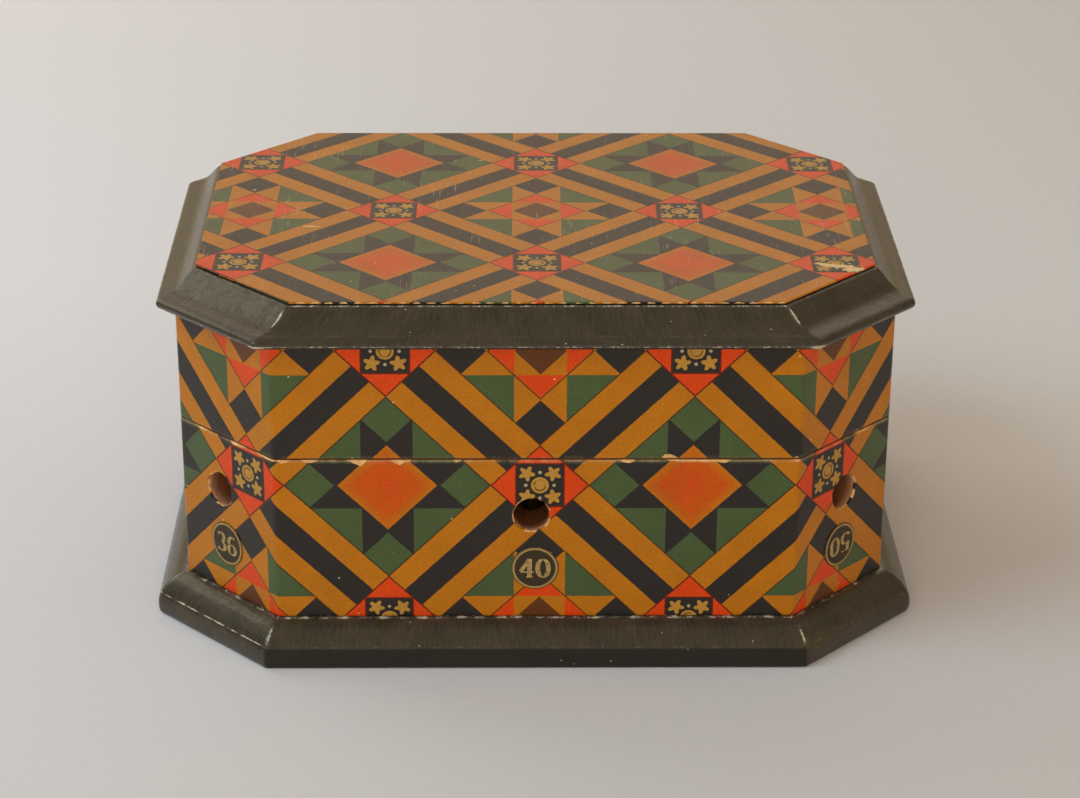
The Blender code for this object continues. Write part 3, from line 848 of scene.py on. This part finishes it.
# Each moulding: profile is how far out as a share of its width, and the height above its underside.
# worn lists pale arrises: height, reach, and how much on each side from the front counter-clockwise;
# they are real wear, and partly painted highlights where an arris catches the light, most on the
# plinth's left sides. glints lists painted highlights on the mitres, painted pale like the worn
# arrises: corner, height range, reach, amount. dark is the height under which the front side is
# painted darker: painted shade.
lidMoulding = {
    "profile": [(0.78, 0.0), (0.93, 0.06), (0.99, 0.6), (1.0, 1.3), (0.96, 1.85), (0.86, 2.25),
                (0.74, 2.5), (0.6, 2.85), (0.46, 3.45), (0.34, 4.25), (0.24, 5.1), (0.14, 5.95),
                (0.06, 6.42), (0.01, 6.58), (-0.04, 6.6)],
    "cornerRadius": 1.3 * mm,
    "worn": [(lidLow.z + 0.75 * mm, 0.25 * mm, (0.75, 0.65, 0.6, 0.7, 0.7, 0.7, 0.65, 0.7)),
             (lidHigh.z - 0.12 * mm, 0.14 * mm, (0.75, 0.5, 0.4, 0.5, 0.6, 0.5, 0.5, 0.5))],
    "glints": [(0, lidLow.z + 3.0 * mm, lidLow.z + 6.2 * mm, 0.3 * mm, 0.9),
               (1, lidLow.z + 3.6 * mm, lidLow.z + 6.4 * mm, 0.3 * mm, 0.95),
               (0, lidLow.z + 0.2 * mm, lidLow.z + 0.9 * mm, 2.6 * mm, 0.95),
               (1, lidLow.z + 0.1 * mm, lidLow.z + 1.1 * mm, 1.8 * mm, 1.0)],
    "dark": lidLow.z + 0.5 * mm, "seed": 41}
plinthMoulding = {
    "profile": [(0.8, 0.0), (0.93, 0.1), (0.985, 0.8), (1.0, 2.0), (0.985, 3.2), (0.93, 4.4),
                (0.84, 5.45), (0.73, 6.4), (0.58, 7.35), (0.44, 8.05), (0.3, 8.55), (0.16, 8.92),
                (0.02, 9.08), (-0.06, 9.1)],
    "cornerRadius": 2.2 * mm,
    "worn": [(plinthLow.z + 4.9 * mm, 0.13 * mm, (0.4, 0.45, 0.4, 0.4, 0.45, 0.45, 1.1, 1.3)),
             (plinthHigh.z - 0.06 * mm, 0.1 * mm, (0.7, 0.55, 0.5, 0.6, 0.7, 0.6, 0.5, 0.6))],
    "glints": [(0, plinthLow.z + 5.2 * mm, plinthLow.z + 8.2 * mm, 0.35 * mm, 0.75),
               (1, plinthLow.z + 5.2 * mm, plinthLow.z + 8.0 * mm, 0.4 * mm, 0.8)],
    "dark": plinthLow.z + 4.6 * mm, "seed": 61}
mouldedBoard("lidBoard", "lid_board", "lid", octagonOf("top_paper"), lidMoulding)
mouldedBoard("baseBoard", "base_board", "base", body, plinthMoulding)
print("mouldings swept")


# ---- bare wood, bores and spindles ----

def woodMaterial(name, dark, light, ringScale, roughness, grainTurn=(0, 0, 0)):
    material, shader, g = newMaterial(name, Roughness=roughness)
    inMm = g.mapped(g.objectPlace(), scale=(1000, 1000, 1000), turn=grainTurn)
    warp = g.noise(g.mapped(inMm, scale=(0.02, 0.2, 0.2)), 1.0, 3.0, 0.5)
    across = g.split(inMm)
    ringsAt = g.add(g.mul(g.add(across[1], across[2]), ringScale), g.mul(warp, 9.0))
    rings = g.math("SINE", ringsAt)
    fibre = g.noise(g.mapped(inMm, scale=(0.12, 3.2, 3.2)), 1.0, 4.0, 0.6)
    tone = g.add(g.mul(rings, 0.18), fibre)
    colour = g.mix(g.span(tone, 0.2, 0.8), dark, light)
    pores = g.above(g.noise(g.mapped(inMm, scale=(0.3, 7.0, 7.0)), 1.0, 2.0), 0.66, 1.0, 0.06)
    colour = g.mix(g.mul(pores, 0.5), colour, tuple(0.45 * v for v in dark))
    g.links.new(colour, shader.inputs["Base Color"])
    g.links.new(g.math("MULTIPLY_ADD", fibre, 0.2, roughness - 0.1), shader.inputs["Roughness"])
    g.links.new(g.bump(g.sub(fibre, g.mul(pores, 0.5)), 0.05 * mm, 0.5), shader.inputs["Normal"])
    return material


carcassWood = woodMaterial("carcassWood", srgb(120, 70, 40), srgb(176, 116, 70), 0.55, 0.6)
sideWood = woodMaterial("sideWood", srgb(120, 70, 40), srgb(176, 116, 70), 0.55, 0.6,
                        grainTurn=(0, 0, np.pi / 2))


# a CAD node's own mesh takes one material
def dress(node, material):
    node.data.materials.clear()
    node.data.materials.append(material)


for wallName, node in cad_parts.items():
    if "_wall_" in wallName:
        dress(node, sideWood if wallName.endswith(("_left", "_right")) else carcassWood)
print("carcass finished")


def boreMaterial():
    material, shader, g = newMaterial("boreWood", Roughness=0.75)
    inMm = g.uvMm()
    fuzz = g.noise(g.mapped(inMm, scale=(1.4, 0.8, 1)), 1.0, 5.0, 0.7)
    fromMouth = g.split(inMm)[1]
    # painted shade: the bore is painted darker deeper in from its mouth, the shade inside the hole
    deep = g.mix(fuzz, srgb(78, 42, 22), srgb(146, 90, 54))
    mouth = g.mix(fuzz, srgb(150, 96, 64), srgb(204, 152, 116))
    colour = g.mix(g.below(g.add(fromMouth, g.mul(fuzz, 1.2)), 1.7, 1.0, 2.2), deep, mouth)
    g.links.new(colour, shader.inputs["Base Color"])
    g.links.new(g.bump(fuzz, 0.3 * mm, 0.8), shader.inputs["Normal"])
    return material


boreWood = boreMaterial()
boreShape = {"around": 72, "along": 24, "clear": 0.03 * mm}


# The drilled surface of one bore: a closed sleeve just inside the CAD bore. Its rows run from the
# mouth inwards on the inner radius, moved by noise for torn fibres, and back on the outer radius.
def boreSleeve(side, found, b=boreShape):
    turn = np.linspace(0, 2 * np.pi, b["around"], endpoint=False)
    depth = np.linspace(found["outer"] + 0.25 * mm, found["inner"] - 0.02 * mm, b["along"])
    around, deep = np.meshgrid(turn, depth)
    flat = np.stack([np.cos(around) * 4, np.sin(around) * 4, deep / mm], -1)
    rough = softNoise(flat, 1.5, 77, 3)
    mouthDepth = (deep.max() - deep) / mm
    radius = found["radius"] - b["clear"] - 0.12 * mm - 0.08 * mm * rough * np.exp(-mouthDepth / 3) \
        - 0.10 * mm * np.exp(-mouthDepth / 0.8) * (rough > 0.2)
    outer = np.full_like(radius, found["radius"] - b["clear"])
    allRadius = np.concatenate([radius, outer[::-1]])
    allDeep = np.concatenate([deep, deep[::-1]])
    allTurn = np.concatenate([around, around])
    local = found["across"] + allRadius * np.cos(allTurn)
    height = found["height"] + allRadius * np.sin(allTurn)
    plan = found["normal"] * allDeep[..., None] + found["tangent"] * local[..., None]
    rows = np.concatenate([plan, height[..., None]], -1)
    mouth = np.concatenate([mouthDepth, mouthDepth[::-1]])[:, 0] * mm
    mouth = np.append(mouth, mouth[0])
    turnUv = np.append(turn, 2 * np.pi) * 4 * mm
    uv = np.stack(np.broadcast_arrays(turnUv[None], mouth[:, None]), -1)
    piece = gridMesh("bore_" + side, rows[:, ::-1], boreWood, "base", wrap=True, loop=True, uv=uv)


for boreSide, found in bores.items():
    boreSleeve(boreSide, found)

spindleWood = woodMaterial("spindleWood", srgb(140, 92, 52), srgb(196, 150, 98), 0.9, 0.4,
                           grainTurn=(0, np.pi / 2, 0))
spindleShape = {"around": 40, "tenon": 1.5, "bead": 2.5, "stem": 2.0, "tip": 1.72}


# A turned peg: radius as a function of height - tenon, bead, cove, tapering stem, rounded tip.
def spindle(node, s=spindleShape):
    low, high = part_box(node)
    floor = plinthHigh.z
    tall = (high.z - floor) / mm
    deep = (low.z - floor) / mm
    tenon, bead, stem, tip = s["tenon"], s["bead"], s["stem"], s["tip"]
    profile = smoothProfile([(tenon - 0.15, deep), (tenon, deep + 0.2), (tenon, 0.3), (tenon, 0.36),
                             (bead - 0.25, 0.38), (bead, 0.62), (bead, 1.05), (bead - 0.25, 1.35),
                             (stem - 0.2, 1.6), (stem - 0.25, 2.0), (stem, 3.0), (stem, 5.0),
                             (tip + 0.1, tall - 9), (tip, tall - 2), (tip - 0.25, tall - 0.9),
                             (tip - 0.8, tall - 0.25), (tip - 1.4, tall)], steps=4)
    turn = np.linspace(0, 2 * np.pi, s["around"], endpoint=False)
    middle = (low + high) / 2
    rows = np.empty((len(profile), s["around"], 3))
    rows[..., 0] = middle.x + profile[:, :1] * mm * np.cos(turn)
    rows[..., 1] = middle.y + profile[:, :1] * mm * np.sin(turn)
    rows[..., 2] = floor + profile[:, 1:] * mm
    piece = gridMesh(node + "Turned", rows, spindleWood, "base", wrap=True, caps=True)
    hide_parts(node)


for nodeName in sorted(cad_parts):
    if nodeName.startswith("spindle_"):
        spindle(nodeName)
print("bores and spindles turned")


# ---- number discs ----

def discMaterial():
    material, shader, g = newMaterial("discPaper", Roughness=0.5)
    shader.inputs["Specular Tint"].default_value = (0.85, 0.72, 0.5, 1.0)
    inMm = g.uvMm()
    x, y, _ = g.split(inMm)
    radius = g.add(g.length(x, y), g.mul(g.noise(inMm, 0.5, 2.0), 0.12))
    worn = g.noise(inMm, 1.8, 4.0, 0.65)
    dark = g.mix(worn, srgb(40, 31, 24), srgb(62, 50, 38))
    ringInk = g.mix(worn, srgb(120, 92, 48), srgb(196, 164, 104))
    ring = g.line(radius, 4.62, 0.22, 1.0, 0.14)
    colour = g.mix(ring, dark, ringInk)
    rim = g.above(radius, 4.98, 1.0, 0.08)
    colour = g.mix(g.mul(rim, g.span(worn, 0.45, 0.6)), colour, srgb(150, 110, 70))
    g.links.new(colour, shader.inputs["Base Color"])
    g.links.new(g.bump(worn, 0.05 * mm, 0.4), shader.inputs["Normal"])
    return material


def numeralMaterial():
    material, shader, g = newMaterial("numeralInk", Roughness=0.42)
    inMm = g.objectMm()
    worn = g.noise(inMm, 1.6, 4.0, 0.65)
    colour = g.mix(g.span(worn, 0.3, 0.7), srgb(112, 84, 42), srgb(196, 166, 102))
    g.links.new(colour, shader.inputs["Base Color"])
    return material


discPaper = discMaterial()
numeralInk = numeralMaterial()
numberOf = {"front_left": "36", "front": "40", "front_right": "50", "back_right": "60", "back": "24",
            "back_left": "30"}
upsideDown = ("front_right",)
numeral = {"height": 4.55, "width": 3.05, "gap": 0.35, "thick": 1.0, "thin": 0.28, "relief": 0.03}


# an arc's points, angles in degrees, counter-clockwise positive
def arcPoints(cx, cy, rx, ry, start, end, count=26):
    angle = np.radians(np.linspace(start, end, count))
    return np.stack([cx + rx * np.cos(angle), cy + ry * np.sin(angle)], -1)


# Fat-faced numerals in a unit box: each is a list of pen paths, in height units of one.
def penPaths(digit):
    if digit == "0":
        return [arcPoints(0.34, 0.5, 0.25, 0.46, 90, 450, 48)]
    if digit == "2":
        bowl = arcPoints(0.33, 0.72, 0.23, 0.24, 165, -35, 26)
        return [np.concatenate([bowl, [[0.12, 0.06]]]), np.array([[0.08, 0.08], [0.60, 0.08]]),
                np.array([[0.60, 0.06], [0.62, 0.26]])]
    if digit == "3":
        return [arcPoints(0.30, 0.74, 0.22, 0.22, 150, -88, 26),
                arcPoints(0.31, 0.27, 0.25, 0.24, 88, -150, 30)]
    if digit == "4":
        return [np.array([[0.46, 0.98], [0.04, 0.33]]), np.array([[0.04, 0.30], [0.66, 0.30]]),
                np.array([[0.46, 0.98], [0.46, 0.04]]), np.array([[0.30, 0.04], [0.62, 0.04]])]
    if digit == "5":
        return [np.array([[0.14, 0.95], [0.58, 0.95]]), np.array([[0.14, 0.97], [0.12, 0.52]]),
                np.concatenate([[[0.12, 0.52]], arcPoints(0.30, 0.30, 0.26, 0.28, 110, -150, 34)])]
    bowl = arcPoints(0.33, 0.29, 0.24, 0.25, 180, 540, 44)
    return [bowl, np.concatenate([arcPoints(0.37, 0.56, 0.28, 0.40, 180, 60, 24)])]


# A pen stroke as a flat strip: the path's points moved to both sides by half a width that grows
# from thin, where the pen runs level, to thick, where it runs upright.
def penStrip(path, n=numeral):
    path = path * n["height"]
    along = np.gradient(path, axis=0)
    along /= np.maximum(np.linalg.norm(along, axis=1, keepdims=True), 1e-9)
    side = np.stack([-along[:, 1], along[:, 0]], -1)
    half = (n["thin"] + (n["thick"] - n["thin"]) * np.abs(along[:, 1:2]) ** 1.6) / 2
    return np.stack([path - side * half, path + side * half])


# A disc's two numerals as thin slabs of ink: each stroke's strip at two levels, with its edges
# and ends closed.
def addNumber(side, found, wall, middle):
    digits = numberOf[side]
    flip = -1 if side in upsideDown else 1
    step = numeral["width"] + numeral["gap"]
    sheets, faces, offset = [], [], 0
    for place, digit in enumerate(digits):
        for order, path in enumerate(penPaths(digit)):
            strip = penStrip(path)
            strip = strip + np.array([(place - 1) * step + numeral["gap"] / 2, -numeral["height"] / 2])
            strip = strip * flip * mm
            level = 0.215 + 0.008 * order
            for lift in (level - 0.05, level + numeral["relief"]):
                plan = (found["normal"] * (wall + lift * mm)
                        + found["tangent"] * (middle[0] + strip[..., :1]))
                sheets.append(np.concatenate([plan, middle[1] + strip[..., 1:]], -1).reshape(-1, 3))
            count = strip.shape[1]
            i = np.arange(count - 1)
            low, high = offset, offset + 2 * count
            top = np.stack([high + i, high + i + 1, high + count + i + 1, high + count + i], -1)
            bottom = np.stack([low + i, low + count + i, low + count + i + 1, low + i + 1], -1)
            edgeA = np.stack([low + i, low + i + 1, high + i + 1, high + i], -1)
            edgeB = np.stack([low + count + i, high + count + i, high + count + i + 1,
                              low + count + i + 1], -1)
            ends = np.array([[low, high, high + count, low + count],
                             [low + count - 1, low + 2 * count - 1,
                              high + 2 * count - 1, high + count - 1]])
            faces.append(np.concatenate([top, bottom, edgeA, edgeB, ends]))
            offset += 4 * count
    mesh = bpy.data.meshes.new("number_" + side)
    mesh.from_pydata(np.concatenate(sheets).tolist(), [], np.concatenate(faces).tolist())
    piece = bpy.data.objects.new("number_" + side, mesh)
    bpy.context.scene.collection.objects.link(piece)
    mesh.materials.append(numeralInk)
    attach(piece, "base")


def numberDisc(side, found):
    node = "number_disc_" + side
    points = nodePoints(node)
    across = points[:, :2] @ found["tangent"]
    middle = np.array([(across.min() + across.max()) / 2, (points[:, 2].min() + points[:, 2].max()) / 2])
    radius = (points[:, 2].max() - points[:, 2].min()) / 2
    wall = float(np.median(points[:, :2] @ found["normal"])) - 0.45 * mm
    turn = np.linspace(0, 2 * np.pi, 96, endpoint=False)
    circle = np.stack([np.cos(turn), np.sin(turn)], -1)
    uneven = 1 + 0.008 * softNoise(circle * 3, 2.0, 90 + len(side))
    shape = [(0.985, 0.02), (1.0, 0.06), (0.998, 0.16), (0.985, 0.2)] + [(s, 0.21) for s in
                                                                       (0.94, 0.8, 0.6, 0.4, 0.2, 0.08)]
    rows, uvRows = [], []
    for share, lift in shape:
        flat = circle * (radius * share * uneven)[:, None]
        plan = found["normal"] * (wall + lift * mm) + found["tangent"] * (middle[0] + flat[:, :1])
        rows.append(np.concatenate([plan, middle[1] + flat[:, 1:]], -1))
        uvRows.append(np.concatenate([flat, flat[:1]]))
    piece = gridMesh("disc_" + side, np.array(rows), discPaper, "base", wrap=True, caps=True,
                     uv=np.array(uvRows))
    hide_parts(node)
    addNumber(side, found, wall, middle)


for boreSide, found in bores.items():
    numberDisc(boreSide, found)
print("number discs pasted")


# ---- brass ----

def brassMaterial():
    material, shader, g = newMaterial("agedBrass", Metallic=1.0, Roughness=0.35)
    inMm = g.objectMm()
    tarnish = g.noise(inMm, 0.5, 5.0, 0.65)
    colour = g.mix(g.span(tarnish, 0.35, 0.7), srgb(206, 168, 92), srgb(122, 90, 48))
    g.links.new(colour, shader.inputs["Base Color"])
    g.links.new(g.math("MULTIPLY_ADD", tarnish, 0.35, 0.18), shader.inputs["Roughness"])
    scratch = g.noise(g.mapped(inMm, scale=(0.5, 6.0, 6.0)), 1.0, 3.0, 0.6)
    g.links.new(g.bump(scratch, 0.02 * mm, 0.5), shader.inputs["Normal"])
    return material


brass = brassMaterial()
for nodeName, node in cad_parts.items():
    if nodeName.startswith("hinge_"):
        dress(node, brass)
print("brass finished")


# ---- floor, light and camera ----

# the floor's four colours are painted light: lighter and cooler towards the back left, darker towards the
# right
stage = {"frontLeft": srgb(223, 219, 231), "frontRight": srgb(216, 213, 217),
         "backLeft": srgb(244, 240, 255), "backRight": srgb(213, 213, 221), "wall": srgb(240, 222, 190),
         "low": (0.95, 1.0, 0.86), "lowStrength": 0.208, "high": (1.0, 0.875, 0.58), "highStrength": 0.407}


def floorMaterial(s=stage):
    material, shader, g = newMaterial("paleFloor", Roughness=0.9)
    place = g.objectPlace()
    x, y, _ = g.split(place)
    weave = g.span(g.noise(place, 420.0, 3.0, 0.6), 0.2, 0.8)
    # painted light: the floor is graded lighter and cooler at the back left, darker at the front and right
    rightwards, backwards = g.span(x, -0.25, 0.35), g.span(y, -0.12, 0.16)
    front = g.mix(rightwards, s["frontLeft"], s["frontRight"])
    back = g.mix(rightwards, s["backLeft"], s["backRight"])
    colour = g.mix(backwards, front, back)
    colour = g.mix(g.span(y, 0.75, 1.1), colour, s["wall"])
    colour = g.mix(0.04, colour, g.mix(weave, (0.5, 0.5, 0.5), (1.5, 1.5, 1.5)), "MULTIPLY")
    g.links.new(colour, shader.inputs["Base Color"])
    return material


# The backdrop: a flat floor that sweeps up behind in a quarter round, then stands upright.
def backdrop():
    x = np.linspace(-2.5, 2.5, 9)
    angle = np.linspace(0, np.pi / 2, 16)
    y = np.concatenate([[-2.5, 0.0, 0.8], 0.8 + 0.7 * np.sin(angle[1:]), [1.5]])
    z = np.concatenate([[0.0, 0.0, 0.0], 0.7 * (1 - np.cos(angle[1:])), [2.6]])
    rows = np.empty((len(y), len(x), 3))
    rows[..., 0], rows[..., 1], rows[..., 2] = x[None], y[:, None], z[:, None]
    mesh = bpy.data.meshes.new("backdrop")
    r, c = np.meshgrid(np.arange(len(y) - 1), np.arange(len(x) - 1), indexing="ij")
    first = r * len(x) + c
    quads = np.stack([first, first + 1, first + len(x) + 1, first + len(x)], -1)
    mesh.from_pydata(rows.reshape(-1, 3).tolist(), [], quads.reshape(-1, 4).tolist())
    mesh.polygons.foreach_set("use_smooth", np.ones(len(mesh.polygons), bool))
    floor = bpy.data.objects.new("backdrop", mesh)
    bpy.context.scene.collection.objects.link(floor)
    mesh.materials.append(floorMaterial())


backdrop()

softBoxes = {
    "leftWindow": {"at": (-0.85, -0.35, 0.95), "size": (0.7, 0.7), "power": 5.98,
                   "colour": (0.68, 0.91, 1.0)},
    "leftBack": {"at": (-0.9, 0.7, 0.7), "size": (0.7, 0.7), "power": 3.23, "colour": (0.97, 1.0, 0.84)},
    "front": {"at": (-0.1, -1.3, 0.45), "size": (0.9, 0.6), "power": 7.19, "colour": (1.0, 0.92, 0.81),
              "mirrored": False},
    "rightFill": {"at": (1.2, -0.4, 0.4), "size": (0.8, 0.8), "power": 1.32, "colour": (1.0, 0.46, 0.02)},
    "behind": {"at": (0.0, 1.3, 0.9), "size": (1.6, 0.7), "power": 2.62, "colour": (1.0, 0.80, 0.78)},
}
for lightName, setup in softBoxes.items():
    data = bpy.data.lights.new(lightName, "AREA")
    data.shape = "RECTANGLE"
    data.size, data.size_y = setup["size"]
    data.energy = setup["power"]
    data.color = setup["colour"]
    lamp = bpy.data.objects.new(lightName, data)
    bpy.context.scene.collection.objects.link(lamp)
    lamp.location = setup["at"]
    lamp.rotation_euler = (Vector((0, 0, 0.03)) - lamp.location).to_track_quat("-Z", "Y").to_euler()
    lamp.visible_glossy = setup.get("mirrored", True)

# the room is dimmer near the horizon than overhead
world = bpy.data.worlds.new("studio")
world.use_nodes = True
room = Graph(world.node_tree)
high = room.nodes["Background"]
high.name = "high"
low = room.nodes.new("ShaderNodeBackground")
low.name = "low"
for shade, part in ((low, "low"), (high, "high")):
    shade.inputs["Color"].default_value = (*stage[part], 1.0)
    shade.inputs["Strength"].default_value = stage[part + "Strength"]
blend = room.nodes.new("ShaderNodeMixShader")
rise = room.split(room.nodes.new("ShaderNodeTexCoord").outputs["Generated"])[2]
room.put(blend.inputs["Fac"], room.span(rise, 0.40, 0.62))
room.links.new(low.outputs[0], blend.inputs[1])
room.links.new(high.outputs[0], blend.inputs[2])
room.links.new(blend.outputs[0], room.nodes["World Output"].inputs["Surface"])
bpy.context.scene.world = world
bpy.context.scene.view_settings.view_transform = "Standard"

view = {"lens": 95.25, "distance": 652.1 * mm, "elevation": 24.63, "turn": -0.92, "roll": 0.33,
        "target": (1.5 * mm, 0.0, 33.8 * mm)}


# the camera stands on a sphere round its target, turned and tilted, then rolled about its view
def addCamera(v=view):
    turn, tilt, roll = np.radians([v["turn"], v["elevation"], v["roll"]])
    back = np.array([np.sin(turn) * np.cos(tilt), -np.cos(turn) * np.cos(tilt), np.sin(tilt)])
    right = np.array([np.cos(turn), np.sin(turn), 0.0])
    up = np.cross(back, right)
    rolledRight = np.cos(roll) * right + np.sin(roll) * up
    rolledUp = -np.sin(roll) * right + np.cos(roll) * up
    data = bpy.data.cameras.new("camera")
    data.lens = v["lens"]
    data.sensor_width = 36.0
    data.clip_start = 0.05
    camera = bpy.data.objects.new("camera", data)
    bpy.context.scene.collection.objects.link(camera)
    matrix = Matrix(np.stack([rolledRight, rolledUp, back], -1).tolist()).to_4x4()
    matrix.translation = Vector(v["target"]) + Vector(back) * v["distance"]
    camera.matrix_world = matrix
    bpy.context.scene.camera = camera


addCamera()
print("stage, light and camera set")
